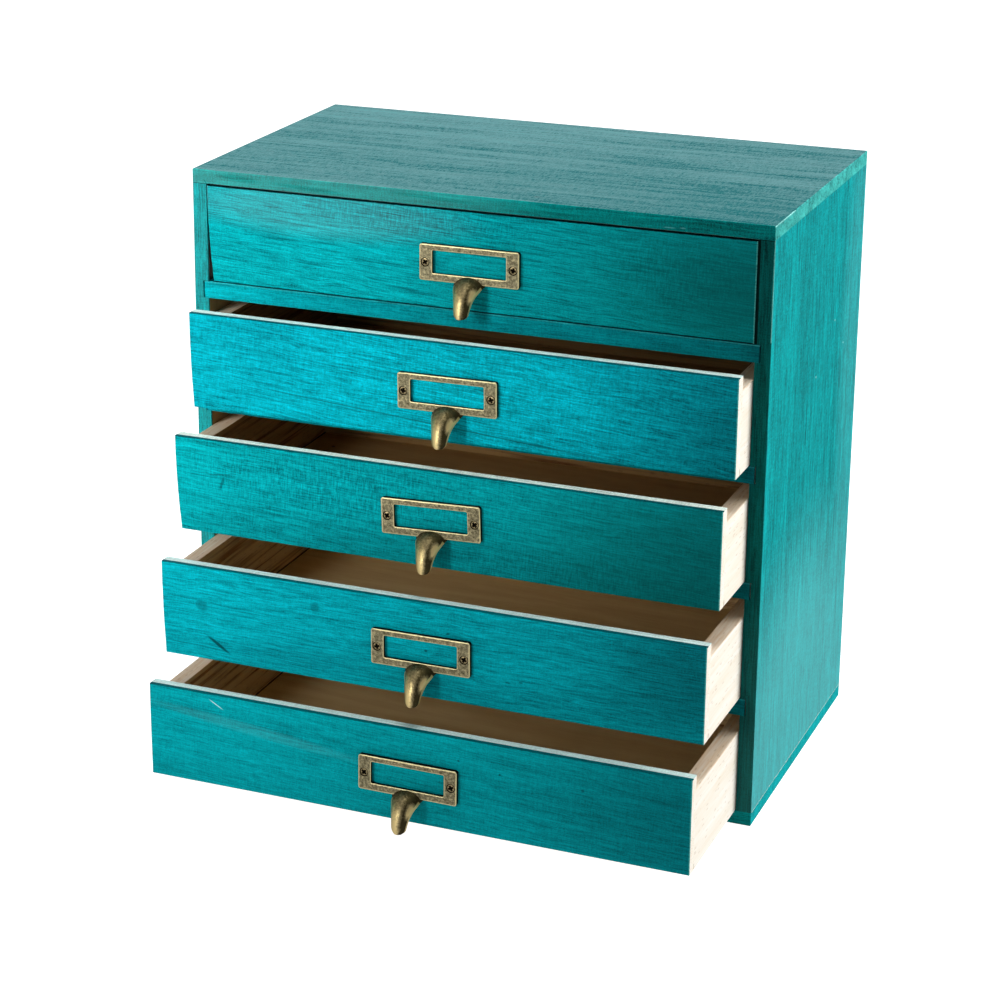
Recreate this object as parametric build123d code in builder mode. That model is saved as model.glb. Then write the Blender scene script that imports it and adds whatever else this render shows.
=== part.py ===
from build123d import *
import os
from math import cos, radians, sin

# Five-drawer storage cabinet in stained wood, for rubber stamps and small craft supplies.
# Millimetres, +Z up, the drawers pull out towards -Y, origin at the middle of the base.
# The drawers stand as photographed: the top one closed, the others pulled out step by step.

# ---- case ---------------------------------------------------------------------------------
case_width = 345.0
case_depth = 198.0
side_thickness = 8.8
top_thickness = 8.0
bottom_thickness = 8.2
divider_thickness = 10.2
opening_heights = [57.9, 58.7, 57.4, 59.5, 58.9]  # clear height for each drawer, top one first
dado_depth = 3.3  # grooves in the sides that take the dividers' ends
dado_end_gap = 0.5  # the dividers stop this short of the groove's floor
back_thickness = 4.0
rabbet_width = 4.4  # step in each side's rear edge that takes the thin back
arris = 0.5  # radius of the sanded outer edges

# ---- drawers ------------------------------------------------------------------------------
pulled_out = [0.0, 26.0, 47.0, 67.4, 85.8]  # how far each drawer stands open, top one first
front_proud = 0.5  # a closed front stands this far out of the case
front_thickness = 7.8
box_side_thickness = 9.8
box_back_thickness = 9.5
side_drop = 8.2  # the box behind the front is this much lower than the front
ply_thickness = 3.0
ply_seat = 5.0  # width of the step in the sides that takes the thin bottom
front_seat = 4.0  # depth of the step in the front that takes the bottom's front edge
end_skew = [3.3, 2.1, 3.2, 1.7, 0.5]  # each front's left end was sawn this much out of square
notch_depth = 0.9  # small open notch at the foot of the joint between side and front
notch_height = 3.6
box_arris = 0.4  # radius of the sanded upper edges of the box

# ---- fits ---------------------------------------------------------------------------------
shelf_gap = 0.3  # under each drawer
head_gap = 0.7  # over a front in the lowest opening
end_gap = 0.5  # at each end of a drawer
rear_gap = 1.0  # between a closed drawer and the back of the case
ply_gap = 0.2  # round the thin bottom in its steps
bore_gap = 0.1  # between a brad or a screw and its bore, on the diameter

# ---- pull: a cast label frame with a hooked finger pull -----------------------------------
plate_width = 59.4
plate_height = 21.0
plate_thickness = 2.8
plate_corner = 1.4
plate_bevel = 0.45
side_bar = 7.7  # width of the bars left and right of the window
upper_bar = 3.4
lower_bar = 4.4
window_corner = 0.8
card_recess = 0.8  # depth of the recess behind the window that holds a paper label
card_lap = 1.6  # how far that recess reaches past the window
screw_inset = 3.5  # from the plate's end to each screw's middle
hook_reach = 14.4  # from the plate's face to the outside of the hook's tip
hook_drop = 15.6  # from the plate's lower edge down to the tip
hook_root = 1.2  # how deep the hook's first section lies in the plate
hook_wall = 1.7
hook_rim = 1.0
# The hook's sections: degrees round its bend, width, and height of the arch.
hook_sections = [(0, 18.0, 5.0), (25, 16.2, 5.2), (48, 13.4, 4.8), (68, 10.8, 3.8),
                 (82, 8.2, 2.6), (90, 5.0, 1.9)]
pull_heights = [26.3, 27.6, 28.7, 27.2, 27.0]  # plate's middle above the front's lower edge
pull_shifts = [-0.1, -2.3, -3.1, -0.6, -0.6]  # plate's middle from the front's middle
pull_tilts = [0.3, 0.8, 2.1, 0.4, -0.3]  # degrees that each plate was screwed on out of level

# ---- fasteners ----------------------------------------------------------------------------
screw_head = 5.2
screw_shank = 2.4
screw_length = 8.4
screw_point = 1.6
driver_span = 3.0  # crossed driver recess: span, slot width and depth
driver_slot = 0.7
driver_depth = 0.8
brad_shank = 1.2
brad_length = 11.0
brad_point = 1.4
brad_head = 2.2
brad_head_height = 0.5
brads_per_edge = 3

# ---- what follows from these sizes --------------------------------------------------------
drawer_count = len(opening_heights)
walls = top_thickness + bottom_thickness + divider_thickness * (drawer_count - 1)
case_height = walls + sum(opening_heights)
inner_half = case_width / 2 - side_thickness
case_front = -case_depth / 2
case_back = case_depth / 2
side_top = case_height - top_thickness
side_middle = (bottom_thickness + side_top) / 2
side_height = side_top - bottom_thickness
front_half = inner_half - end_gap
front_height = min(opening_heights) - shelf_gap - head_gap
box_height = front_height - side_drop
box_half = front_half - box_side_thickness
drawer_depth = case_depth + front_proud - back_thickness - rear_gap
ply_step = ply_thickness + ply_gap
ply_half = box_half + ply_seat - ply_gap
brad_line = inner_half + rabbet_width / 2  # the back's brads stand this far from the middle
window_width = plate_width - 2 * side_bar
window_height = plate_height - upper_bar - lower_bar
screw_spread = plate_width - 2 * screw_inset


def shelf_height(index):
    """Height of the face that a drawer runs on, the top drawer being number 0."""
    return side_top - sum(opening_heights[:index + 1]) - divider_thickness * index


def facing_front(x, y, z, tilt=0.0):
    """Plane that faces -Y: its own x runs along +X, turned by tilt degrees, its own y up."""
    turned = (cos(radians(tilt)), 0, sin(radians(tilt)))
    return Plane(origin=(x, y, z), x_dir=turned, z_dir=(0, -1, 0))


def facing_back(x, y, z):
    """Plane that faces +Y: its own x runs along -X, its own y up."""
    return Plane(origin=(x, y, z), x_dir=(-1, 0, 0), z_dir=(0, 1, 0))


def facing_down(x, y, z):
    """Plane that faces -Z: its own x runs along +X."""
    return Plane(origin=(x, y, z), x_dir=(1, 0, 0), z_dir=(0, 0, -1))


def spread_evenly(count, length):
    """Places of count fasteners along an edge of this length, about its middle."""
    return [length * ((i + 0.5) / count - 0.5) for i in range(count)]


def write(part, label):
    part.label = label
    export_step(part, f"parts/{label}.step")


# ---- brads --------------------------------------------------------------------------------
back_brad_spots = [facing_back(hand * brad_line, case_back,
                               shelf_height(i) + opening_heights[i] / 2)
                   for hand in (-1, 1) for i in range(drawer_count)]
back_brad_spots += [facing_back(x, case_back, shelf_height(i) - divider_thickness / 2)
                    for i in range(drawer_count - 1)
                    for x in spread_evenly(brads_per_edge, 2 * inner_half)]


def bottom_brad_spots(face, base):
    """Where the thin bottom of a drawer is pinned, from below, to its sides and back."""
    length = drawer_depth - front_thickness
    middle = face + front_thickness + length / 2
    level = base + ply_gap
    spots = [facing_down(hand * (box_half + ply_seat / 2), middle + y, level)
             for hand in (-1, 1) for y in spread_evenly(brads_per_edge, length)]
    rear = face + drawer_depth - box_back_thickness / 2
    spots += [facing_down(x, rear, level) for x in spread_evenly(brads_per_edge, 2 * box_half)]
    return spots


def brads(spots):
    """Flat-headed brads driven straight in, their heads flush at the given planes."""
    with BuildPart() as pins:
        with BuildSketch(Plane.XZ) as profile:
            with BuildLine():
                Polyline((0, 0), (brad_head / 2, 0), (brad_head / 2, -brad_head_height),
                         (brad_shank / 2, -brad_head_height),
                         (brad_shank / 2, brad_point - brad_length), (0, -brad_length), (0, 0))
            make_face()
        with Locations(*spots):
            add(revolve(profile.sketch, axis=Axis.Z, mode=Mode.PRIVATE))
    return pins.part


def bore_for_brads(spots):
    """Cut the brads' bores, with the shallow seats of their heads, out of the open part."""
    with Locations(*spots):
        CounterBoreHole((brad_shank + bore_gap) / 2, (brad_head + bore_gap) / 2,
                        brad_head_height, brad_length + bore_gap)


# ---- case ---------------------------------------------------------------------------------
def case_board(thickness, base, sanded_face):
    """Top or bottom board, as wide and as deep as the case."""
    with BuildPart() as board:
        with Locations((0, 0, base + thickness / 2)):
            Box(case_width, case_depth, thickness)
        rim = board.faces().filter_by(Axis.Z).sort_by(Axis.Z)[sanded_face].edges()
        fillet(rim + board.edges().filter_by(Axis.Z), arris)
    return board.part


def side_board(hand):
    """Side of the case, grooved for the dividers and stepped at the rear for the back."""
    with BuildPart() as side:
        with Locations((hand * (inner_half + side_thickness / 2), 0, side_middle)):
            Box(side_thickness, case_depth, side_height)
        outer = side.faces().filter_by(Axis.X).sort_by(Axis.X)[-1 if hand > 0 else 0]
        fillet(outer.edges().filter_by(Axis.Z), arris)
        for i in range(drawer_count - 1):
            groove_middle = shelf_height(i) - divider_thickness / 2
            with Locations((hand * inner_half, 0, groove_middle)):
                Box(2 * dado_depth, case_depth, divider_thickness, mode=Mode.SUBTRACT)
        with Locations((hand * inner_half, case_back, side_middle)):
            Box(2 * rabbet_width, 2 * back_thickness, side_height, mode=Mode.SUBTRACT)
        bore_for_brads(back_brad_spots)
    return side.part


def divider(index):
    """Shelf between two drawers, let into the sides' grooves and seen as a bar in front."""
    length = 2 * (inner_half + dado_depth - dado_end_gap)
    depth = case_depth - back_thickness
    with BuildPart() as shelf:
        with Locations((0, case_front + depth / 2, shelf_height(index) - divider_thickness / 2)):
            Box(length, depth, divider_thickness)
        bore_for_brads(back_brad_spots)
    return shelf.part


def back_board():
    """Thin back, set in the sides' steps between top and bottom."""
    with BuildPart() as back:
        with Locations((0, case_back - back_thickness / 2, side_middle)):
            Box(2 * (inner_half + rabbet_width), back_thickness, side_height)
        bore_for_brads(back_brad_spots)
    return back.part


# ---- drawers ------------------------------------------------------------------------------
def drawer_front(index, face, base, spot):
    """Front board; its left end leans in towards the foot, as it was sawn."""
    foot = end_skew[index] - front_half
    waist = end_skew[index] / 4 - front_half
    with BuildPart() as front:
        with BuildSketch(facing_front(0, face + front_thickness, base)):
            with BuildLine():
                Polyline((foot, 0), (front_half, 0), (front_half, front_height),
                         (-front_half, front_height))
                ThreePointArc((-front_half, front_height), (waist, front_height / 2), (foot, 0))
            make_face()
        extrude(amount=front_thickness)
        fillet(front.faces().sort_by(Axis.Y)[0].edges(), arris)
        with Locations((0, face + front_thickness, base)):
            Box(2 * (ply_half + ply_gap), 2 * front_seat, 2 * ply_step, mode=Mode.SUBTRACT)
        with BuildSketch(spot):
            with GridLocations(screw_spread, 0, 2, 1):
                Circle((screw_shank + bore_gap) / 2)
        extrude(amount=plate_thickness - screw_length - bore_gap, mode=Mode.SUBTRACT)
    return front.part


def drawer_side(hand, face, base):
    """Side of the drawer, stepped below for the thin bottom, butted against the front."""
    length = drawer_depth - front_thickness
    start = face + front_thickness
    with BuildPart() as side:
        with Locations((hand * (front_half - box_side_thickness / 2), start + length / 2,
                        base + box_height / 2)):
            Box(box_side_thickness, length, box_height)
        upper = side.faces().sort_by(Axis.Z)[-1].edges().filter_by(Axis.Y)
        fillet(upper, box_arris)
        with Locations((hand * box_half, start + length / 2, base)):
            Box(2 * ply_seat, length, 2 * ply_step, mode=Mode.SUBTRACT)
        with Locations((hand * (front_half - box_side_thickness / 2), start, base)):
            Box(box_side_thickness, 2 * notch_depth, 2 * notch_height, mode=Mode.SUBTRACT)
        bore_for_brads(bottom_brad_spots(face, base))
    return side.part


def drawer_back(face, base):
    """Back of the drawer, between the sides, standing on the thin bottom."""
    with BuildPart() as back:
        with Locations((0, face + drawer_depth - box_back_thickness / 2,
                        base + (ply_step + box_height) / 2)):
            Box(2 * box_half, box_back_thickness, box_height - ply_step)
        fillet(back.faces().sort_by(Axis.Z)[-1].edges().filter_by(Axis.X), box_arris)
        bore_for_brads(bottom_brad_spots(face, base))
    return back.part


def drawer_bottom(face, base):
    """Thin plywood bottom in the steps of front and sides, run on below the back."""
    start = face + front_thickness - front_seat + ply_gap
    end = face + drawer_depth - ply_gap
    with BuildPart() as sheet:
        with Locations((0, (start + end) / 2, base + ply_gap + ply_thickness / 2)):
            Box(2 * ply_half, end - start, ply_thickness)
        bore_for_brads(bottom_brad_spots(face, base))
    return sheet.part


# ---- pulls and their screws ---------------------------------------------------------------
def hook_section(spot, degrees):
    """Plane square to the hook's bend, its own y pointing out of the bend."""
    turn = radians(degrees)
    rise = lower_bar + hook_drop
    reach = hook_reach + hook_root
    up = rise * cos(turn) - plate_height / 2 - hook_drop
    out = plate_thickness - hook_root + reach * sin(turn)
    along = Vector(0, -rise * sin(turn), reach * cos(turn)).normalized()
    origin = spot.from_local_coords(Vector(0, up, out))
    ahead = spot.from_local_coords(Vector(0, up, out) + along) - origin
    return Plane(origin=origin, x_dir=spot.x_dir, z_dir=ahead)


def pull(spot):
    """One casting: flat label frame, and a hollow hook that grows from its lower bar."""
    window_middle = lower_bar + (window_height - plate_height) / 2
    with BuildPart() as casting:
        with BuildSketch(spot):
            RectangleRounded(plate_width, plate_height, plate_corner)
            with Locations((0, window_middle)):
                RectangleRounded(window_width, window_height, window_corner, mode=Mode.SUBTRACT)
        extrude(amount=plate_thickness)
        chamfer(casting.faces().sort_by(Axis.Y)[0].edges(), plate_bevel)
        for degrees, width, arch in hook_sections:
            half = width / 2
            rim = half - hook_rim
            with BuildSketch(hook_section(spot, degrees)):
                with BuildLine():
                    ThreePointArc((-half, -arch), (0, 0), (half, -arch))
                    Line((half, -arch), (rim, -arch))
                    ThreePointArc((rim, -arch), (0, -hook_wall), (-rim, -arch))
                    Line((-rim, -arch), (-half, -arch))
                make_face()
        loft()
        with BuildSketch(spot):
            recess_foot = lower_bar - plate_height / 2 - card_lap
            with Locations((0, (recess_foot + plate_height / 2) / 2)):
                Rectangle(window_width + 2 * card_lap, plate_height / 2 - recess_foot)
        extrude(amount=card_recess, mode=Mode.SUBTRACT)
        with Locations(spot.offset(plate_thickness)):
            with GridLocations(screw_spread, 0, 2, 1):
                CounterSinkHole((screw_shank + bore_gap) / 2, (screw_head + bore_gap) / 2,
                                plate_thickness, 90)
    return casting.part


def pull_screws(spot):
    """Two countersunk screws with crossed driver recesses, flush with the plate's face."""
    head_height = (screw_head - screw_shank) / 2
    with BuildPart() as screws:
        with BuildSketch(Plane.XZ) as profile:
            with BuildLine():
                Polyline((0, 0), (screw_head / 2, 0), (screw_shank / 2, -head_height),
                         (screw_shank / 2, screw_point - screw_length), (0, -screw_length),
                         (0, 0))
            make_face()
        with Locations(spot.offset(plate_thickness)):
            with GridLocations(screw_spread, 0, 2, 1):
                add(revolve(profile.sketch, axis=Axis.Z, mode=Mode.PRIVATE))
                Box(driver_span, driver_slot, 2 * driver_depth, mode=Mode.SUBTRACT)
                Box(driver_slot, driver_span, 2 * driver_depth, mode=Mode.SUBTRACT)
    return screws.part


# ---- writing the pieces -------------------------------------------------------------------
os.makedirs("parts", exist_ok=True)
write(case_board(top_thickness, side_top, -1), "top_panel")
write(case_board(bottom_thickness, 0, 0), "bottom_panel")
write(side_board(-1), "left_side_panel")
write(side_board(1), "right_side_panel")
write(back_board(), "back_panel")
write(brads(back_brad_spots), "back_panel_brads")
for i in range(drawer_count - 1):
    write(divider(i), f"divider_{i + 1}")
for i in range(drawer_count):
    name = f"drawer_{i + 1}"
    face = case_front - front_proud - pulled_out[i]
    base = shelf_height(i) + shelf_gap
    spot = facing_front(pull_shifts[i], face, base + pull_heights[i], pull_tilts[i])
    write(drawer_front(i, face, base, spot), f"{name}_front")
    write(drawer_side(-1, face, base), f"{name}_left_side")
    write(drawer_side(1, face, base), f"{name}_right_side")
    write(drawer_back(face, base), f"{name}_back")
    write(drawer_bottom(face, base), f"{name}_bottom")
    write(brads(bottom_brad_spots(face, base)), f"{name}_bottom_brads")
    write(pull(spot), f"{name}_pull")
    write(pull_screws(spot), f"{name}_pull_screws")
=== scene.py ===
import bpy
import bmesh
from math import asin, cos, hypot, pi, radians, sin, sqrt
from mathutils import Matrix, Vector


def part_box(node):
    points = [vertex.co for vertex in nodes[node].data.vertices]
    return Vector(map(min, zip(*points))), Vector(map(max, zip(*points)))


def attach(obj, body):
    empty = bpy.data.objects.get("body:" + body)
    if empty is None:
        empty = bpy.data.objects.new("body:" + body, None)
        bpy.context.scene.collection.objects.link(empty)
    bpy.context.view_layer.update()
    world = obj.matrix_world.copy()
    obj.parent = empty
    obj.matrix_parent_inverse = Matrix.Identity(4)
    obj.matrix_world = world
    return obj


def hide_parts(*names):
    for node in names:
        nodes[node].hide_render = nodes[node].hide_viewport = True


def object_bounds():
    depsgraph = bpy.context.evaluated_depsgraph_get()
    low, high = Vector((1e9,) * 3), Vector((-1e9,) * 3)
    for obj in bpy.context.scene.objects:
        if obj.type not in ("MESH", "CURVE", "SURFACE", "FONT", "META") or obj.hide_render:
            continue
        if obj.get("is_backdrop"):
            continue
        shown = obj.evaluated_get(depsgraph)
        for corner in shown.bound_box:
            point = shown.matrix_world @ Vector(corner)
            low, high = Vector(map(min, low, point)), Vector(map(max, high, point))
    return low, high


# Five-drawer cabinet in stained paulownia with cast label pulls.
# Metres for objects, millimetres inside the materials and in the settings.

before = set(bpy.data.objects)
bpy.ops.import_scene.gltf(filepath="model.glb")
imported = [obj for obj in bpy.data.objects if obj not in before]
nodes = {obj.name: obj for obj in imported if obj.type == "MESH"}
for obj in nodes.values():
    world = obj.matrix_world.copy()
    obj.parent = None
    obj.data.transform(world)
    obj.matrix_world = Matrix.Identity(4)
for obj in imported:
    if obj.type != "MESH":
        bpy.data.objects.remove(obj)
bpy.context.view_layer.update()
mm = 0.001
print("frame loaded,", len(nodes), "nodes")


# small tools
def hexColour(code):
    channels = [int(code[i:i + 2], 16) / 255 for i in (1, 3, 5)]
    return tuple(c / 12.92 if c <= 0.04045 else ((c + 0.055) / 1.055) ** 2.4
                 for c in channels) + (1.0,)


def addNode(tree, kind, settings=None, inputs=None):
    # one shader node, with its settings and with a value or a link for each input
    node = tree.nodes.new("ShaderNode" + kind)
    for name, value in (settings or {}).items():
        setattr(node, name, value)
    for name, value in (inputs or {}).items():
        if isinstance(value, bpy.types.NodeSocket):
            tree.links.new(value, node.inputs[name])
        else:
            node.inputs[name].default_value = value
    return node


covering = {"data_type": "RGBA"}
tinting = {"data_type": "RGBA", "blend_type": "MULTIPLY"}
plainNumber = {"data_type": "FLOAT"}
times, timesPlus = {"operation": "MULTIPLY"}, {"operation": "MULTIPLY_ADD"}
smooth = {"interpolation_type": "SMOOTHSTEP"}


def paintOver(tree, colour, coats, way=covering):
    # lays coats over a colour: each has its mask, its strength and its own colour
    if isinstance(colour, str):
        colour = hexColour(colour)
    for mask, strength, coat in coats:
        if strength != 1:
            mask = addNode(tree, "Math", times, {0: mask, 1: strength}).outputs[0]
        if isinstance(coat, str):
            coat = hexColour(coat)
        colour = addNode(tree, "Mix", way, {0: mask, 6: colour, 7: coat}).outputs[2]
    return colour


def finishSurface(tree, relief, inputs):
    # relief: what the bump follows, its strength and its depth in metres
    height, strength, depth = relief
    rise = addNode(tree, "Bump", None, {"Height": height, "Strength": strength, "Distance": depth})
    surface = addNode(tree, "BsdfPrincipled", None, {**inputs, "Normal": rise.outputs[0]})
    addNode(tree, "OutputMaterial", None, {"Surface": surface.outputs[0]})
    return surface


def newMaterial(name):
    material = bpy.data.materials.new(name)
    material.use_nodes = True
    material.node_tree.nodes.clear()
    return material, material.node_tree


def millimetres(tree):
    # object coordinates, in millimetres
    spot = addNode(tree, "TexCoord")
    return addNode(tree, "VectorMath", {"operation": "SCALE"},
                   {0: spot.outputs["Object"], "Scale": 1000.0}).outputs[0]


def speckle(tree, scale, detail):
    # fine grain in the object's own coordinates, so many cells to a metre
    spot = addNode(tree, "TexCoord")
    return addNode(tree, "TexNoise", None, {"Vector": spot.outputs["Object"], "Scale": scale,
                                            "Detail": detail}).outputs["Fac"]


def boxMm(name):
    low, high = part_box(name)
    return [v * 1000 for v in low], [v * 1000 for v in high]


def showObject(name, data):
    piece = bpy.data.objects.new(name, data)
    bpy.context.scene.collection.objects.link(piece)
    return piece


# camera: solved from the photograph's corners, before anything else
camera = {"place": (0.53964, -1.46227, 0.70203), "yaw": 0.4038, "pitch": 0.3106,
          "lens": 98.395, "shift": (0.1, -0.1)}


def setCamera():
    data = bpy.data.cameras.new("studioCamera")
    data.sensor_width = 36
    data.lens = camera["lens"]
    data.shift_x, data.shift_y = camera["shift"]
    data.clip_start = 0.05
    data.clip_end = 60
    holder = showObject("studioCamera", data)
    holder.location = camera["place"]
    holder.rotation_euler = (pi / 2 - camera["pitch"], 0, camera["yaw"])
    bpy.context.scene.camera = holder


setCamera()
print("camera set")


# floor, lights and surroundings
studio = {
    "floor": "#C4C4C3", "fleck": "#C8C8C7", "floorGlow": 0.95, "floorSize": 14.0,
    # brightness of the surround: front below and above, rear below and above
    "surround": (0.62, 0.07, 0.3, 0.95),
    # name, place, what it aims at, size, watts and spread in degrees
    "softboxes": [
        ("rightBox", (1.3, 0.35, 0.45), (0.15, 0.0, 0.15), (0.8, 0.9), 14.5, 180),
        # honeycomb grid: fades towards the right
        ("leftBox", (-0.5, -1.0, 0.55), (-0.3, -0.1, 0.25), (0.4, 0.5), 1.0, 45),
        ("topBox", (0.55, 0.6, 1.6), (0.0, 0.0, 0.3), (1.4, 1.2), 7.0, 180),
        ("overheadBox", (0.1, -0.28, 1.5), (0.05, -0.15, 0.15), (0.7, 0.25), 6.5, 180),
    ],
}


def setStudio():
    material, tree = newMaterial("matteFloorPaper")  # pale seamless paper with a faint tooth
    tooth = speckle(tree, 400.0, 2.0)
    finishSurface(tree, (tooth, 0.05, 0.0002), {
        "Base Color": paintOver(tree, studio["floor"], [(tooth, 1, studio["fleck"])]),
        "Roughness": 0.9, "Specular IOR Level": 0.0, "Emission Color": hexColour("#FFFFFF"),
        "Emission Strength": studio["floorGlow"]})
    mesh = bpy.data.meshes.new("studioFloor")
    build = bmesh.new()
    bmesh.ops.create_grid(build, x_segments=8, y_segments=8, size=studio["floorSize"] / 2)
    build.to_mesh(mesh)
    build.free()
    mesh.materials.append(material)
    floor = showObject("studioFloor", mesh)
    floor.location = (0, 0, -0.0002)
    floor.visible_diffuse = False  # the surround stands for its bounce, so it can be white
    floor.visible_glossy = False
    floor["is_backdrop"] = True

    for name, place, aim, size, power, spread in studio["softboxes"]:
        data = bpy.data.lights.new(name, "AREA")
        data.shape = "RECTANGLE"
        data.size, data.size_y = size
        data.energy = power
        data.spread = radians(spread)
        lamp = showObject(name, data)
        lamp.location = place
        toward = Vector(aim) - Vector(place)
        lamp.rotation_euler = toward.to_track_quat("-Z", "Y").to_euler()

    world = bpy.data.worlds.new("studioSurround")  # pale paper behind and below, dim in front
    world.use_nodes = True
    tree = world.node_tree
    tree.nodes.clear()
    spot = addNode(tree, "TexCoord")
    apart = addNode(tree, "SeparateXYZ", None, {0: spot.outputs["Generated"]})
    rear = addNode(tree, "MapRange", smooth,
                   {"Value": apart.outputs["Y"], "From Min": -0.3, "From Max": 0.45})
    above = addNode(tree, "MapRange", smooth,
                    {"Value": apart.outputs["Z"], "From Min": -0.1, "From Max": 0.42})
    low = addNode(tree, "Mix", plainNumber,
                  {0: rear.outputs[0], 2: studio["surround"][0], 3: studio["surround"][2]})
    high = addNode(tree, "Mix", plainNumber,
                   {0: rear.outputs[0], 2: studio["surround"][1], 3: studio["surround"][3]})
    level = addNode(tree, "Mix", plainNumber,
                    {0: above.outputs[0], 2: low.outputs[0], 3: high.outputs[0]})
    path = addNode(tree, "LightPath")
    shown = addNode(tree, "Mix", plainNumber,
                    {0: path.outputs["Is Camera Ray"], 2: level.outputs[0], 3: 1.0})
    sky = addNode(tree, "Background", None,
                  {"Color": hexColour("#FFFFFF"), "Strength": shown.outputs[0]})
    addNode(tree, "OutputWorld", None, {"Surface": sky.outputs[0]})
    bpy.context.scene.world = world
    bpy.context.scene.view_settings.view_transform = "Standard"


setStudio()
print("studio set")


# shared parts of the wood materials
def grainSpace(tree, turn, seed):
    # places in millimetres, plain and turned so that the grain runs along x
    place = millimetres(tree)
    turned = addNode(tree, "Mapping", {"vector_type": "POINT"},
                     {"Vector": place, "Rotation": [radians(a) for a in turn],
                      "Location": (seed * 313.0, seed * 47.0, seed * 29.0)})
    return place, turned.outputs[0]


def cells(tree, space, along, across):
    # cells of this many millimetres along and across the grain
    return addNode(tree, "VectorMath", times,
                   {0: space, 1: (1 / along, 1 / across, 1 / across)}).outputs[0]


def stretchedNoise(tree, space, along, across, detail, rough=0.55, distortion=0.0):
    return addNode(tree, "TexNoise", None,
                   {"Vector": cells(tree, space, along, across), "Scale": 1.0, "Detail": detail,
                    "Roughness": rough, "Distortion": distortion}).outputs["Fac"]


def poreDashes(tree, space, along, across, share, width):
    # short open pores: one stretched cell in every few holds a dash
    dots = addNode(tree, "TexVoronoi", {"feature": "F1"},
                   {"Vector": cells(tree, space, along, across), "Scale": 1.0, "Randomness": 1.0})
    near = addNode(tree, "MapRange", None,
                   {"Value": dots.outputs["Distance"], "From Min": width * 0.55,
                    "From Max": width, "To Min": 1.0, "To Max": 0.0})
    pick = addNode(tree, "SeparateColor", None, {0: dots.outputs["Color"]})
    some = addNode(tree, "Math", {"operation": "LESS_THAN"}, {0: pick.outputs[0], 1: share})
    return addNode(tree, "Math", times, {0: near.outputs[0], 1: some.outputs[0]}).outputs[0]


def sumOf(tree, parts, start):
    # start plus each part's distance from one half, times its weight
    total = start
    for socket, weight in parts:
        centred = addNode(tree, "Math", {"operation": "SUBTRACT"}, {0: socket, 1: 0.5})
        total = addNode(tree, "Math", timesPlus,
                        {0: centred.outputs[0], 1: weight, 2: total}).outputs[0]
    return total


def patch(tree, place, middle, size, turn=(0, 0, 0), soft=0.5):
    # 1 inside an ellipsoid with these half sizes in millimetres, fading to 0 at its skin
    local = addNode(tree, "Mapping", {"vector_type": "TEXTURE"},
                    {"Vector": place, "Location": middle, "Scale": size,
                     "Rotation": [radians(a) for a in turn]})
    reach = addNode(tree, "VectorMath", {"operation": "LENGTH"}, {0: local.outputs[0]})
    return addNode(tree, "MapRange", smooth,
                   {"Value": reach.outputs["Value"], "From Min": 1.0 - soft, "From Max": 1.0,
                    "To Min": 1.0, "To Max": 0.0}).outputs[0]


def beyond(tree, place, jitter, limits):
    # 1 where every limit holds: (axis, sign, millimetres), its border wandering a little
    apart = addNode(tree, "SeparateXYZ", None, {0: place})
    total = None
    for axis, sign, value in limits:
        moved = addNode(tree, "Math", timesPlus,
                        {0: jitter, 1: 0.5 * sign, 2: apart.outputs[axis]})
        step = addNode(tree, "MapRange", None,
                       {"Value": moved.outputs[0], "From Min": value - sign * 0.1,
                        "From Max": value + sign * 0.1, "To Min": 0.0, "To Max": 1.0})
        total = step.outputs[0] if total is None else addNode(tree, "Math", times,
            {0: total, 1: step.outputs[0]}).outputs[0]
    return total


def anyOf(tree, place, jitter, groups):
    # 1 where the limits of at least one group hold
    total = None
    for limits in groups:
        part = beyond(tree, place, jitter, limits)
        total = part if total is None else addNode(
            tree, "Math", {"operation": "MAXIMUM"}, {0: total, 1: part}).outputs[0]
    return total


# bare paulownia: pale, planed and sanded, soft brown pores, no finish
bareWood = {
    "pale": "#F8F4EC", "warm": "#E9DCC4", "pore": "#A98A60", "roughness": 0.72,
    "inside": "#F2DBB0",  # the boxes' insides have darkened to honey
    "latewood": "#B48B5C", "late": (90.0, 3.2),  # brown bands between the rings
    "handled": "#E6C49A",  # tan from handling, on the top edges
    "fibre": (26.0, 1.3), "figure": (170.0, 7.0), "pores": (7.0, 1.3, 0.4, 0.34),
}


def bareWoodColour(tree, grain):
    # satin pale ground with slow warm bands; the pores read as fine brown ticks
    fibre = stretchedNoise(tree, grain, *bareWood["fibre"], 3.0)
    figure = stretchedNoise(tree, grain, *bareWood["figure"], 2.0, 0.5, 0.3)
    pores = poreDashes(tree, grain, *bareWood["pores"])
    level = sumOf(tree, [(fibre, 0.9), (figure, 1.3)], 0.4)
    return paintOver(tree, bareWood["pale"], [(level, 1, bareWood["warm"]),
                                              (pores, 0.35, bareWood["pore"])]), fibre, pores


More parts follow.
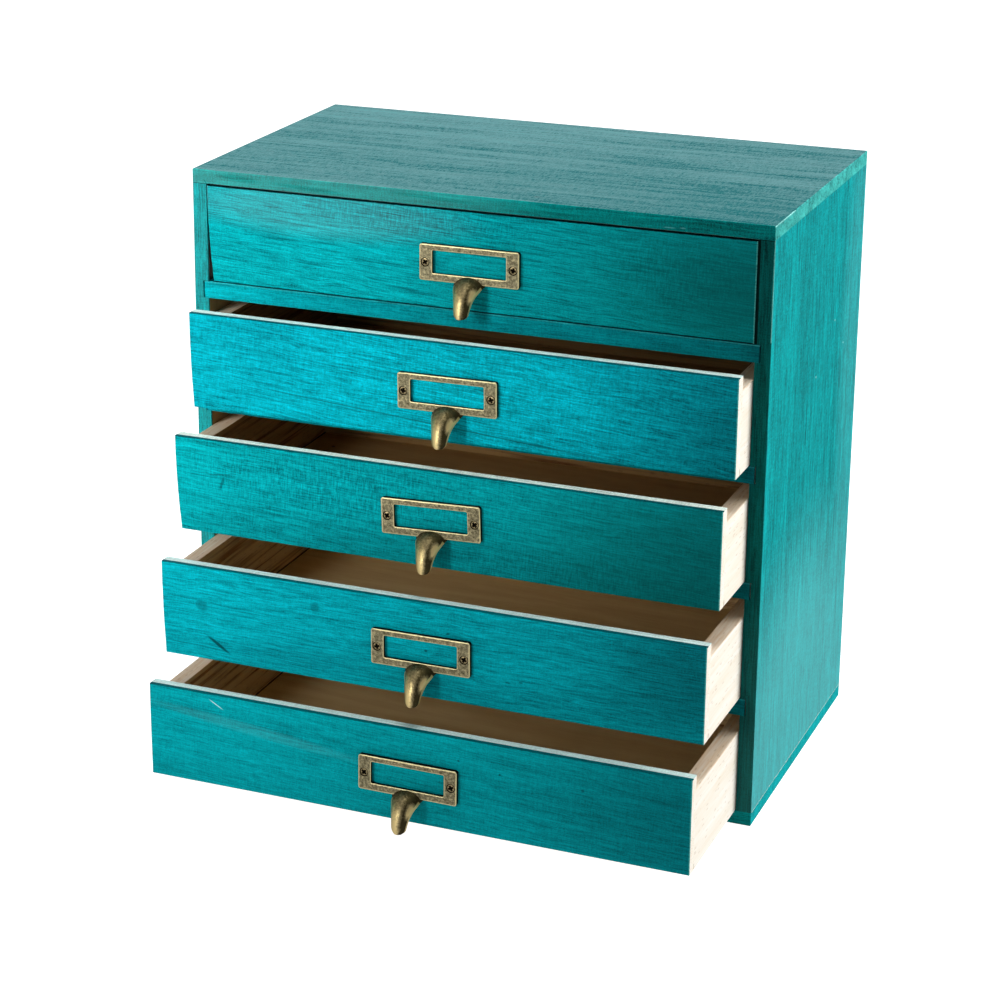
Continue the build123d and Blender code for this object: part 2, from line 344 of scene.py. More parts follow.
def makeBareWood(name, turn, seed, inside, top, insideShade):
    material, tree = newMaterial(name)
    place, grain = grainSpace(tree, turn, seed)
    colour, fibre, pores = bareWoodColour(tree, grain)
    late = addNode(tree, "MapRange", None,
                   {"Value": stretchedNoise(tree, grain, *bareWood["late"], 2.0, 0.6, 0.4),
                    "From Min": 0.5, "From Max": 0.68}).outputs[0]
    aged = paintOver(tree, bareWood["inside"], [(late, 1, bareWood["latewood"])])
    # the insides age to honey; the upper drawers' painted shade then darkens them further
    honeyAndShade = paintOver(tree, colour, [(1.0, 1, aged), (1.0, 1, insideShade)], tinting)
    colour = paintOver(tree, colour, [(beyond(tree, place, 0.0, inside), 1, honeyAndShade)])
    upper = beyond(tree, place, 0.0, [("Z", 1, top - 0.4)])
    colour = paintOver(tree, colour, [(upper, fibre, bareWood["handled"])], tinting)
    rough = addNode(tree, "MapRange", None,
                    {"Value": fibre, "To Min": bareWood["roughness"] - 0.06,
                     "To Max": bareWood["roughness"] + 0.08})
    height = sumOf(tree, [(fibre, 1.0), (pores, -0.8)], 0.5)
    finishSurface(tree, (height, 0.35, 0.00012),
                  {"Base Color": colour, "Roughness": rough.outputs[0],
                   "Specular IOR Level": 0.3})
    return material


# stained paulownia: thin turquoise water stain, brushed on, rubbed back, nearly matt
stain = {
    "line": "#00525B", "pore": "#00464F", "roughness": 0.56, "specular": 0.03,
    # sizes along and across the grain, in millimetres
    "fibreSize": (17.0, 0.75),  # real fibres are finer; drawn as coarse as they show
    "toothSize": (0.9, 0.6),  # rubbed-back nap of the stain, coarsened in the same way
    "figureSize": (140.0, 6.0), "cloudSize": (80.0, 30.0), "streakSize": (30.0, 0.8),
    "hairSize": (0.95, 6.0),  # brush hairs dragged across the grain
    "poreSize": (5.0, 0.9, 0.4, 0.26), "ringSpacing": 7.0,
    "sway": (34.0, 15.0, 3.0),  # the fibres wander this far
    # how strongly each pattern tells
    "fibre": 1.75, "figure": 0.5, "cloud": 0.5, "tooth": 0.9, "hairs": 0.45, "rings": 0.1,
    "streaks": 0.4, "pores": 0.3,
    "depth": 1.0,  # how far the shade tells in the colour
    "shine": (0.57, 1.35),  # where gloss follows the shade: none at the first, full at the second
    "brushTones": ((0.62, 0.72, 0.74, 1), (1.22, 1.14, 1.14, 1)),
    "turn": (0, 0, 0), "pith": (0, 70, 30), "bareTint": "#FFFFFF",
    "tonesAndPaintedLight": [], "brush": [], "marksAndPaintedLight": [], "bare": [], "edges": [], "dull": [],
}


def makeStainedWood(name, board):
    # open fibres and pores take more stain and read as fine dark lines and ticks, growth
    # bands as long soft streaks; wiped across the grain it keeps faint cross lines
    # tonesAndPaintedLight: middle, half sizes, change, some of them painted shade or painted sheen;
    # brush: middle, half sizes, strength
    # marksAndPaintedLight: middle, half sizes, colour, strength, and the turn in degrees if there
    # is one; among them are painted shade, painted sheen and a painted reflection
    # bare and dull: groups of limits; edges: limits, colour, strength; among the edges are painted
    # shade in gaps and a painted highlight on an arris
    board = {**stain, **board}
    material, tree = newMaterial("waterStainedPaulownia_" + name)
    place, grain = grainSpace(tree, board["turn"], board["seed"])
    swayLong, swayWide, swayFar = board["sway"]
    sway = stretchedNoise(tree, grain, swayLong, swayWide, 1.0)
    wavy = addNode(tree, "VectorMath", timesPlus,
                   {0: sway, 1: (0, swayFar, swayFar), 2: grain}).outputs[0]
    fibre = stretchedNoise(tree, wavy, *board["fibreSize"], 2.0, 0.65)
    tooth = stretchedNoise(tree, grain, *board["toothSize"], 1.0)
    hairs = stretchedNoise(tree, grain, *board["hairSize"], 1.0)
    figure = stretchedNoise(tree, wavy, *board["figureSize"], 2.0, 0.5, 0.3)
    cloud = stretchedNoise(tree, grain, *board["cloudSize"], 1.0)
    streak = stretchedNoise(tree, wavy, *board["streakSize"], 2.0, 0.55)
    pores = poreDashes(tree, wavy, *board["poreSize"])
    perRing = 0.314 / board["ringSpacing"]  # the wave texture repeats each 0.314
    ringSpace = addNode(tree, "Mapping", {"vector_type": "POINT"},
                        {"Vector": wavy, "Scale": (0.0012, perRing, perRing),
                         "Location": [p * perRing for p in board["pith"]]})
    rings = addNode(tree, "TexWave",
                    {"wave_type": "RINGS", "rings_direction": "X", "wave_profile": "SAW"},
                    {"Vector": ringSpace.outputs[0], "Scale": 1.0, "Distortion": 7.0,
                     "Detail": 1.0, "Detail Scale": 0.8, "Detail Roughness": 0.5})
    patterns = {"fibre": fibre, "figure": figure, "cloud": cloud, "tooth": tooth,
                "hairs": hairs, "rings": rings.outputs["Fac"]}
    weave = sumOf(tree, [(socket, board[key]) for key, socket in patterns.items()], 1.0)
    washAndPaintedLight = 1.0  # where the whole coat is thicker or thinner, plus painted shade where the light falls off and painted sheen where it reflects
    for middle, size, change in board["tonesAndPaintedLight"]:
        where = patch(tree, place, middle, size, soft=0.9)
        washAndPaintedLight = addNode(tree, "Math", timesPlus, {0: where, 1: change, 2: washAndPaintedLight}).outputs[0]
    shade = addNode(tree, "Math", times, {0: weave, 1: washAndPaintedLight}).outputs[0]
    strength = addNode(tree, "Math", timesPlus,
                       {0: shade, 1: board["depth"], 2: 1.0 - board["depth"]})
    colour = addNode(tree, "VectorMath", {"operation": "SCALE"},
                     {0: hexColour(board["tone"])[:3], "Scale": strength.outputs[0]}).outputs[0]
    dark = addNode(tree, "MapRange", None, {"Value": streak, "From Min": 0.53, "From Max": 0.68,
                                            "To Max": board["streaks"]})
    colour = paintOver(tree, colour, [(dark.outputs[0], 1, board["line"]),
                                      (pores, board["pores"], board["pore"])])
    if board["brush"]:
        light = addNode(tree, "MapRange", None,
                        {"Value": hairs, "From Min": 0.35, "From Max": 0.65})
        dragged = paintOver(tree, board["brushTones"][0],
                            [(light.outputs[0], 1, board["brushTones"][1])])
    for middle, size, weight in board["brush"]:
        where = patch(tree, place, middle, size, soft=0.8)
        brushed = paintOver(tree, colour, [(1.0, 1, dragged)], tinting)
        colour = paintOver(tree, colour, [(where, weight, brushed)])
    for middle, size, code, weight, *turn in board["marksAndPaintedLight"]:
        where = patch(tree, place, middle, size, turn or (0, 0, 0), 0.6)
        colour = paintOver(tree, colour, [(where, weight, code)])

    jitter = addNode(tree, "TexNoise", None, {"Vector": place, "Scale": 0.35, "Detail": 3.0})
    shift = addNode(tree, "Math", {"operation": "SUBTRACT"},
                    {0: jitter.outputs["Fac"], 1: 0.5}).outputs[0]
    if board["bare"]:
        plain = bareWoodColour(tree, grain)[0]
        plain = paintOver(tree, plain, [(1.0, 1, board["bareTint"])], tinting)
        bare = anyOf(tree, place, shift, board["bare"])
        colour = paintOver(tree, colour, [(bare, 1, plain)])
    for limits, code, weight in board["edges"]:
        edge = addNode(tree, "VectorMath", {"operation": "SCALE"},
                       {0: hexColour(code)[:3], "Scale": weave}).outputs[0]
        colour = paintOver(tree, colour, [(beyond(tree, place, shift, limits), weight, edge)])
    rough = addNode(tree, "MapRange", None, {"Value": fibre, "To Min": board["roughness"] - 0.1,
                                             "To Max": board["roughness"] + 0.12})
    height = sumOf(tree, [(fibre, 1.0), (pores, -0.9)], 0.5)
    surface = finishSurface(tree, (height, 0.4, 0.00012),
                            {"Base Color": colour, "Roughness": rough.outputs[0],
                             "Specular IOR Level": board["specular"]})
    if board["dull"]:  # waxed by handling: the closed grain shines, the open grain doesn't
        where = anyOf(tree, place, shift, board["dull"])
        noShine, fullShine = board["shine"]
        # the gloss follows the shade, so on the top the painted sheen tones also set where it
        # shines
        sheen = addNode(tree, "MapRange", None,
                        {"Value": shade, "From Min": noShine, "From Max": fullShine,
                         "To Min": 0.02, "To Max": board["specular"]})
        shine = addNode(tree, "Mix", plainNumber,
                        {0: where, 2: sheen.outputs[0], 3: stain["specular"]})
        tree.links.new(shine.outputs[0], surface.inputs["Specular IOR Level"])
    return material


def dress(name, material):
    for holder in nodes[name].material_slots:
        holder.material = material


# case boards
topLow, topHigh = boxMm("top_panel")
baseHigh = boxMm("bottom_panel")[1]
rightLow = boxMm("right_side_panel")[0]
leftHigh = boxMm("left_side_panel")[1]
caseFront = topLow[1]
inFront = ("Y", -1, caseFront + 0.6)
behindFront = ("Y", 1, caseFront + 1.5)
upright = (0, 90, 0)  # grain runs up the board

caseBoards = {
    "top_panel": {
        "seed": 3, "tone": "#007276", "depth": 0.4, "specular": 1.3,
        "dull": [[inFront], [("X", 1, 172.2)]],
        "figure": 1.4, "figureSize": (260, 13), "cloud": 0.4, "streaks": 0.3, "pores": 0.5,
        "fibre": 2.1, "fibreSize": (55, 1.7), "hairs": 1.0, "tooth": 1.7, "pith": (0, 40, 60),
        # painted sheen: these tones brighten the top at the back and left and darken it at the
        # front right, and through the shade set how much it shines
        "tonesAndPaintedLight": [((-60, 80, 349.4), (260, 120, 30), 0.28),
                  ((-110, -60, 349.4), (150, 60, 30), 0.12),
                  ((160, -75, 349.4), (190, 70, 30), -0.3)],
        "marksAndPaintedLight": [((33.9, -87, 349.4), (2.4, 0.9, 3), "#06292E", 0.9, 0, 0, 12),
                  # painted sheen: a pale band along the front edge's left half
                  ((-110, -99, 345), (170, 2, 12), "#86C8C2", 0.4),
                  ((-143, -99, 346), (17, 2, 2.6), "#00685F", 0.55, 0, 4, 0),
                  ((-98, -99, 344), (30, 2, 1.8), "#006F66", 0.5, 0, 3, 0),
                  ((-22, -99, 346), (34, 2, 1.6), "#006F66", 0.45, 0, 2, 0),
                  ((48, -99, 344), (40, 2, 1.7), "#00574F", 0.45, 0, 3, 0),
                  ((138, -99, 346), (30, 2, 1.6), "#00453E", 0.5, 0, 2, 0),
                  ((-164.3, -99, 342.2), (2.1, 2, 0.4), "#02252A", 0.9, 0, 52, 0),
                  ((114, -99, 342.8), (4.5, 2, 0.5), "#6FD6DA", 0.85),
                  ((121.5, -99, 343.2), (2.2, 2, 0.6), "#6FD6DA", 0.8)],
        "edges": [([inFront], "#009690", 0.6), ([("X", 1, 172.2)], "#4CBAB0", 0.55),
                  ([("X", 1, 172.2), ("Z", 1, 348.7), ("Y", -1, -60)], "#B5EEE8", 0.4)],
        "bare": [[("Z", -1, topLow[2] + 0.2), behindFront, ("X", -1, topHigh[0] - 2),
                  ("X", 1, topLow[0] + 2)]]},
    "bottom_panel": {
        "seed": 5, "tone": "#009DA0",
        "edges": [([inFront], "#006E68", 0.6)],
        "bare": [[("Z", 1, baseHigh[2] - 0.2), behindFront], [("Z", -1, 0.2)]]},
    "left_side_panel": {
        "seed": 7, "tone": "#009799", "bareTint": "#B89E70", "turn": upright,
        "pith": (0, 60, 20), "fibre": 2.2, "specular": 0.2,
        "marksAndPaintedLight": [((-164.3, -99, 342.2), (2.1, 2, 0.4), "#02252A", 0.9, 0, 52, 0)],
        "edges": [([inFront, ("Z", 1, topLow[2] - 0.5)], "#01383A", 0.7),
                  # painted shade: the top opening's narrow gap beside drawer 1, painted near black
                  ([("X", 1, leftHigh[0] - 3.6), behindFront, ("Y", -1, -50), ("Z", 1, 281)],
                   "#00181E", 0.96)],
        "bare": [[("X", 1, leftHigh[0] - 3.5), behindFront]]},
    "right_side_panel": {
        "seed": 9, "tone": "#008E90", "turn": upright, "figure": 1.0, "figureSize": (520, 5.5),
        "cloud": 0.3, "streaks": 0.8, "rings": 0.12, "pith": (0, 10, 40), "pores": 0.3,
        "fibreSize": (26, 0.8), "fibre": 2.2, "hairs": 0.5, "tooth": 1.3,
        "edges": [([inFront], "#00423B", 0.85),
                  ([inFront, ("Z", 1, topLow[2] - 0.5)], "#001F1C", 0.8),
                  # painted shade: the narrow gap beside drawer 1, painted near black
                  ([inFront, ("X", -1, rightLow[0] + 1.1), ("Z", 1, 283.2)], "#001210", 0.95),
                  ([("X", 1, 172.1), ("Y", -1, caseFront + 0.9), ("Z", 1, 285)],
                   "#7CD0C8", 0.35)],
        "tonesAndPaintedLight": [((172.5, -95, 250), (30, 70, 150), 0.12)],
        # painted reflection: the two pale #8CDDE0 patches, broad low on the side and faint at the
        # rear
        "marksAndPaintedLight": [((172.5, -10, 0), (20, 220, 185), "#8CDDE0", 0.24),
                  ((172.5, 95, 230), (20, 50, 190), "#8CDDE0", 0.08),
                  ((172.5, 40.1, 261.0), (3, 0.6, 0.9), "#BDF3EE", 0.9),
                  ((172.5, 62.4, 241.5), (3, 0.6, 0.8), "#BDF3EE", 0.9),
                  ((172.5, 1.7, 237.3), (3, 0.7, 0.9), "#BDF3EE", 0.9)],
        "bare": [[("X", -1, rightLow[0] + 3.5), behindFront]]},
    "back_panel": {
        "seed": 11, "tone": "#009397", "turn": upright,
        "bare": [[("Y", -1, boxMm("back_panel")[1][1] - 0.3)]]},
}
for name, board in caseBoards.items():
    dress(name, makeStainedWood(name, board))
# tone, change at the left, painted shade at the right end where the light falls off, and how far
# back the stain reaches
dividers = [("#00A0AA", 0.2, -0.25, 14), ("#0095A0", -0.1, -0.15, 0.5),
            ("#00989F", -0.25, -0.22, 0.5), ("#0096A0", -0.3, -0.08, 0.5)]
for i, (tone, atLeft, paintedShadeAtRight, reach) in enumerate(dividers):
    name = f"divider_{i + 1}"
    low, high = boxMm(name)
    front = ("Y", -1, low[1] + 0.4)
    board = {"seed": 13 + i, "tone": tone, "fibre": 1.5,
             "tonesAndPaintedLight": [((-165, -99, high[2]), (90, 30, 30), atLeft),
                       ((150, -99, high[2]), (110, 30, 30), paintedShadeAtRight),
                       # painted shade: a darker stretch at the very right end
                       ((166, -99, high[2]), (18, 30, 30), -0.4)],
             "edges": [([("X", -1, low[0] + 0.6), front], "#01282C", 0.8),
                       ([("X", 1, high[0] - 0.5), front], "#01282C", 0.6),
                       ([("Z", 1, high[2] - 1.0), ("Z", -1, high[2] - 0.3), front],
                        "#4CC4C6", 0.3),
                       # painted shade: the top face's first 13 mm, in the narrow gap under the
                       # drawer above, painted near black
                       ([("Z", 1, high[2] - 0.25), ("Y", -1, low[1] + 13)], "#002024", 0.85)],
             "bare": [[("Y", 1, low[1] + reach)]]}
    dress(name, makeStainedWood(name, board))
print("case boards finished")

# drawer fronts: each one's own grain, brush marks and scars, with painted shade towards each right
# end and a painted sheen on drawer 1's upper left
drawerFronts = [
    {"seed": 21, "turn": (0, -3.4, 0), "tone": "#00A9B0", "pith": (0, 60, 25), "figure": 0.3,
     "fibreSize": (20, 0.75), "fibre": 2.0, "cloud": 0.2, "streaks": 0.6, "tooth": 1.1,
     "brush": [((-40, -99, 333), (95, 90, 14), 0.9), ((115, -99, 318), (60, 90, 26), 0.7)],
     # painted shade: the second tone and the first mark below darken the right end
     "tonesAndPaintedLight": [((-60, -99, 300), (110, 30, 40), 0.1), ((165, -99, 311), (110, 30, 60), -0.66)],
     "marksAndPaintedLight": [((150, -99, 312), (150, 60, 60), "#00807A", 0.35),
               # painted sheen: a faint pale haze at the upper left
               ((-90, -99, 332), (110, 3, 20), "#B4C4BE", 0.08)]},
    {"seed": 23, "turn": (0, -4.0, 0), "tone": "#00AABA", "pith": (0, 65, 10),
     "fibre": 2.1, "figure": 0.35, "cloud": 0.35, "hairs": 0.7,
     # painted shade: the second tone darkens the right end
     "tonesAndPaintedLight": [((20, -125, 244), (170, 30, 60), 0.42), ((175, -125, 235), (110, 30, 60), -0.45)],
     "marksAndPaintedLight": [((-6.5, -125.5, 223.5), (152, 3, 0.55), "#0A6468", 0.75, 0, 4.28, 0)]},
    {"seed": 27, "turn": (0, -3.2, 0), "tone": "#00A4AB", "pith": (0, 60, -20),
     "fibre": 2.0, "figure": 0.4, "cloud": 0.35, "hairs": 0.8,
     # painted shade: the tone at x 170 and the first mark darken the right end
     "tonesAndPaintedLight": [((50, -146, 152), (150, 30, 30), -0.3), ((-70, -146, 152), (110, 30, 24), -0.2),
               ((170, -146, 165), (125, 30, 70), -0.55), ((-40, -146, 190), (160, 30, 40), 0.08)],
     "brush": [((-60, -146, 185), (120, 90, 26), 0.6), ((90, -146, 150), (110, 90, 26), 0.5)],
     "marksAndPaintedLight": [((150, -146, 170), (150, 60, 60), "#007A74", 0.35),
               ((-133.4, -146.5, 178.5), (1.3, 3, 6.0), "#04484D", 0.6, 0, 20, 0),
               ((-134.5, -146.5, 183.7), (13.5, 3, 0.5), "#0A6468", 0.7, 0, -8, 0),
               ((19.2, -146.5, 194.4), (1.0, 3, 0.8), "#04484D", 0.7)]},
    {"seed": 31, "turn": (0, -0.4, 0), "tone": "#00ADBA", "pith": (0, 55, 15),
     "fibre": 1.9, "figure": 0.4, "cloud": 0.35,
     # painted shade: the second tone darkens the right end
     "tonesAndPaintedLight": [((-40, -167, 82), (200, 30, 30), -0.22), ((170, -167, 112), (110, 30, 60), -0.5)],
     "marksAndPaintedLight": [((-137.5, -166.9, 110.2), (5.5, 3, 4.2), "#04585F", 0.55, 0, 15, 0),
               ((-66.0, -166.9, 120.4), (3.6, 3, 4.6), "#04585F", 0.45, 0, 10, 0),
               ((-127.2, -166.9, 87.8), (11.5, 3, 1.4), "#03363A", 0.85, 0, 32.6, 0),
               ((14.9, -166.9, 117.8), (1.8, 3, 0.8), "#04484D", 0.75, 0, -20, 0),
               ((1.7, -166.9, 105.5), (1.3, 3, 1.1), "#04484D", 0.75),
               ((50.6, -166.9, 94.6), (2.2, 3, 0.7), "#04484D", 0.65),
               ((58.2, -166.9, 95.9), (1.6, 3, 0.7), "#04484D", 0.65)]},
    {"seed": 35, "turn": (0, -2.6, 0), "tone": "#00A6AF", "pith": (0, 75, 5),
     "fibre": 1.35, "figure": 0.4, "cloud": 0.35, "streaks": 0.28, "pores": 0.15,
     # painted shade: the first tone darkens the right end
     "tonesAndPaintedLight": [((165, -185, 40), (120, 30, 60), -0.36), ((-150, -185, 12), (80, 30, 26), -0.1)],
     "marksAndPaintedLight": [((-95, -185.3, 47), (85, 3, 4.5), "#6C9C97", 0.1, 0, 6, 0),
               ((-120.2, -185.3, 59.1), (6.0, 3, 0.4), "#C9F5F3", 0.95, 0, 29.7, 0),
               ((29.0, -185.3, 51.5), (1.0, 3, 0.8), "#04484D", 0.8),
               ((53.5, -185.3, 47.7), (1.0, 3, 0.8), "#04484D", 0.8),
               ((101.8, -185.3, 47.2), (1.4, 3, 1.1), "#04606A", 0.8)]},
]
# closed drawer: how deep its gap shows, painted dark as shade; open ones: the stain laps over the
# arris, then bare
gapShows, stainLap = 4.2, 2.8
bareTops = ["#C4ECEA", "#C4ECEA", "#D8EFE6", "#C0E8E8", "#BCE4E4"]
for i, board in enumerate(drawerFronts):
    name = f"drawer_{i + 1}_front"
    low, high = boxMm(name)
    face, behind = ("Y", -1, low[1] + 0.5), low[1] + (stainLap if i else gapShows)
    near, rear, upper = ("Y", -1, behind), ("Y", 1, behind), ("Z", 1, high[2] - 0.3)
    board["bare"] = [[rear]]
    # the second edge is a painted highlight along each front's right arris
    board["edges"] = [([upper, rear], bareTops[i], 0.7),
                      ([("X", 1, high[0] - 0.6), face], "#55BDB4", 0.6)]
    if i == 0:
        # painted shade: drawer 1 stays shut, so its rims in the gap, as deep as it shows, are
        # painted near black
        rims = [("Z", 1, high[2] - 0.2), ("X", 1, high[0] - 0.15), ("X", -1, low[0] + 0.15)]
        board["edges"] = [([rim, near], "#00242A", 0.95) for rim in rims] + [
            ([("Z", -1, low[2] + 0.45), near], "#002024", 0.85), *board["edges"],
            ([("X", -1, low[0] + 0.5), face], "#9FE8E8", 0.4)]
    else:
        board["bare"] += [[("Y", 1, low[1] + 0.6), ("Z", -1, high[2] - 0.3)]]
        board["edges"] = [([upper, near], "#00454C", 0.85)] + board["edges"]
    dress(name, makeStainedWood(name, board))
print("drawer fronts finished")

# drawer boxes: painted shade inside the upper ones, which stand barely open: their insides and
# floors are tinted darker
boxInsideShade = ["#C0AC90", "#B49E80", "#D6C6AC", "#FFFFFF", "#FFFFFF"]
for i in range(5):
    for part, turn in (("left_side", (0, 0, -90)), ("right_side", (0, 0, -90)),
                       ("back", (0, 0, 0))):
        name = f"drawer_{i + 1}_{part}"
        low, high = boxMm(name)
        inside = {"left_side": ("X", 1, high[0] - 0.3), "right_side": ("X", -1, low[0] + 0.3),
                  "back": ("Y", -1, low[1] + 0.3)}[part]
        dress(name, makeBareWood("barePaulownia_" + name, turn, 40 + 3 * i + len(part),
                                 [inside], high[2], boxInsideShade[i]))


# plywood: thin rotary-cut sheet, wide soft cathedral bands, a few dark specks
plywood = {"pale": "#F2DBAA", "warm": "#D8BA82", "speckAndCornerShade": "#4A2E17", "roughness": 0.66,
           "band": (120.0, 16.0), "fibre": (18.0, 1.4), "specks": (26.0, 20.0, 0.35, 0.055),
           "cornerShade": 1.2}


def makePlywood(name, seed, halfWidth, insideShade):
    material, tree = newMaterial(name)
    place, grain = grainSpace(tree, (0, 0, 4), seed)
    band = stretchedNoise(tree, grain, *plywood["band"], 2.0, 0.5, 0.8)
    fibre = stretchedNoise(tree, grain, *plywood["fibre"], 3.0)
    specks = poreDashes(tree, grain, *plywood["specks"])
    level = sumOf(tree, [(band, 1.6), (fibre, 0.7)], 0.5)
    colour = paintOver(tree, plywood["pale"], [(level, 1, plywood["warm"]),
                                               (specks, 1, plywood["speckAndCornerShade"])])
    # painted shade: the upper drawers' floors are tinted darker
    colour = paintOver(tree, colour, [(1.0, 1, insideShade)], tinting)
    edge = halfWidth - plywood["cornerShade"]
    cornerShade = anyOf(tree, place, 0.0, [[("X", -1, -edge)], [("X", 1, edge)]])
    colour = paintOver(tree, colour, [(cornerShade, 1, plywood["speckAndCornerShade"])])  # painted shade: a dark line in the gap along the side walls, where the floor meets them
    finishSurface(tree, (fibre, 0.3, 0.0001),
                  {"Base Color": colour, "Roughness": plywood["roughness"],
                   "Specular IOR Level": 0.35})
    return material


for i in range(5):
    wall = boxMm(f"drawer_{i + 1}_right_side")[0][0]  # its inner face
    dress(f"drawer_{i + 1}_bottom",
          makePlywood(f"rotaryCutPlywood_{i + 1}", 60 + i, wall, boxInsideShade[i]))
print("drawer boxes finished")


# steel: drawn wire brads, bright with grey scale lines
brads = {"bright": "#B9BBBC", "dull": "#7D7F80", "roughness": 0.38}


def makeBradSteel():
    material, tree = newMaterial("drawnWireSteel")
    scale = speckle(tree, 1800.0, 3.0)
    rough = addNode(tree, "MapRange", None, {"Value": scale, "To Min": brads["roughness"] - 0.08,
                                             "To Max": brads["roughness"] + 0.15})
    finishSurface(tree, (scale, 0.2, 0.00005), {
        "Base Color": paintOver(tree, brads["bright"], [(scale, 1, brads["dull"])]),
        "Metallic": 1.0, "Roughness": rough.outputs[0]})
    return material


bradSteel = makeBradSteel()
dress("back_panel_brads", bradSteel)
for i in range(5):
    dress(f"drawer_{i + 1}_bottom_brads", bradSteel)
print("brads finished")


# antique brass: plated casting, blackened, then rubbed back on its high edges
brass = {"rubbed": "#F2E2AC", "ground": "#9A9172", "dark": "#423E2A",
         "oxide": "#0A0906", "oxideWorn": "#1E1A10", "gold": "#FFE0A0",
         "roughness": 0.42, "mottle": 1.4, "grit": 0.4}


def makeOxide():
    material, tree = newMaterial("blackenedOxide")  # sooty brown-black film, left in the hollows
    grain = speckle(tree, 1400.0, 3.0)
    finishSurface(tree, (grain, 0.3, 0.0001), {
        "Base Color": paintOver(tree, brass["oxide"], [(grain, 1, brass["oxideWorn"])]),
        "Metallic": 1.0, "Roughness": 0.55})
    return material


oxide = makeOxide()


def makeAntiqueBrass(name, seed):
    # the rubbed places glint warm, the hollows stay dull and nearly black
    material, tree = newMaterial(name)
    moved = addNode(tree, "VectorMath", {"operation": "ADD"},
                    {0: millimetres(tree), 1: (seed * 71.0, seed * 37.0, seed * 53.0)})
    mottle = addNode(tree, "TexNoise", None,
                     {"Vector": moved.outputs[0], "Scale": 1 / brass["mottle"], "Detail": 4.0,
                      "Roughness": 0.65}).outputs["Fac"]
    grit = addNode(tree, "TexNoise", None, {"Vector": moved.outputs[0], "Detail": 2.0,
                                            "Scale": 1 / brass["grit"]}).outputs["Fac"]
    rubbed = addNode(tree, "Attribute", {"attribute_name": "rubbed"}).outputs["Fac"]
    polish = addNode(tree, "Attribute", {"attribute_name": "polish"}).outputs["Fac"]
    cast = sumOf(tree, [(mottle, 1.7), (grit, 0.7)], 0.5)
    calm = addNode(tree, "Mix", plainNumber, {0: polish, 2: cast, 3: 0.5})
    level = sumOf(tree, [(calm.outputs[0], 1.0), (rubbed, 1.5)], 0.5)
    ramp = addNode(tree, "ValToRGB", None, {0: level})
    ramp.color_ramp.elements[0].color = hexColour(brass["dark"])
    ramp.color_ramp.elements[1].color = hexColour(brass["rubbed"])
    ramp.color_ramp.elements.new(0.5).color = hexColour(brass["ground"])
    rough = addNode(tree, "MapRange", None, {"Value": level, "To Min": brass["roughness"] + 0.12,
                                             "To Max": brass["roughness"] + 0.02})
    finishSurface(tree, (mottle, 0.25, 0.0002), {
        "Base Color": paintOver(tree, ramp.outputs[0], [(polish, 1, brass["gold"])], tinting),
        "Metallic": 1.0, "Roughness": rough.outputs[0]})
    return material


# pulls: one casting each, a label frame with a hollow hook below its window
pull = {
    "plate": (59.4, 21.0, 2.8), "corner": 1.4, "bevel": 0.45, "sideBar": 7.7,
    "upperBar": 3.4, "lowerBar": 4.4, "windowCorner": 0.8, "windowBevel": 0.35,
    "cardRecess": 0.8, "cardLap": 1.6, "screwInset": 3.5,
    "reach": 14.8, "drop": 16.4, "root": 1.2, "wall": 1.7, "rim": 1.3, "lowered": 0.6,
    "flare": (1.6, 0.5),  # how far out it runs from the plate, and how wide
    # degrees round the bend, width and arch of the hook there
    "sections": [(0, 18.0, 4.8), (25, 16.4, 5.0), (48, 13.0, 4.5), (68, 10.4, 3.8),
                 (82, 9.0, 3.2), (90, 7.0, 2.4)],
    # the tip closes from these degrees on: half width and what it loses, arch and its loss
    "tip": (80, 4.6, 0.7, 3.3, 0.3),
    # rubbed places and painted highlights: middle and reach across (-1 to 1), then middle and reach
    # in degrees
    "nose": (-0.45, 0.85), "flankHighlight": (0.7, 0.36, 46, 22), "rimWearAndHighlight": 1.5,
    "tilts": [0.3, 0.8, 2.1, 0.4, -0.3],
    "countersink": (3.15, 1.3, 0.5, 1.35),  # wide and narrow radius, start above the face, depth
    "holeWear": 0.45, "polish": 0.35, "sharp": 35,
}


def roundedLoop(width, height, corner, middle, steps=6, runs=(10, 5)):
    # points round a rectangle with rounded corners, the same count whatever its size
    points = []
    halfX, halfZ = width / 2 - corner, height / 2 - corner
    corners = [(halfX, halfZ, 0), (-halfX, halfZ, 90), (-halfX, -halfZ, 180),
               (halfX, -halfZ, 270)]
    for index, (x, z, start) in enumerate(corners):
        for step in range(steps + 1):
            angle = radians(start + 90 * step / steps)
            points.append((x + corner * cos(angle), z + corner * sin(angle) + middle))
        nextX, nextZ = corners[(index + 1) % 4][:2]
        endAngle = radians(start + 90)
        first = (x + corner * cos(endAngle), z + corner * sin(endAngle))
        last = (nextX + corner * cos(endAngle), nextZ + corner * sin(endAngle))
        count = runs[index % 2]
        for step in range(1, count):
            share = step / count
            points.append((first[0] + (last[0] - first[0]) * share,
                           first[1] + (last[1] - first[1]) * share + middle))
    return points


def wearLayers(build):
    # how far each point is rubbed bright, and how smooth hands have made it
    return build.verts.layers.float.new("rubbed"), build.verts.layers.float.new("polish")


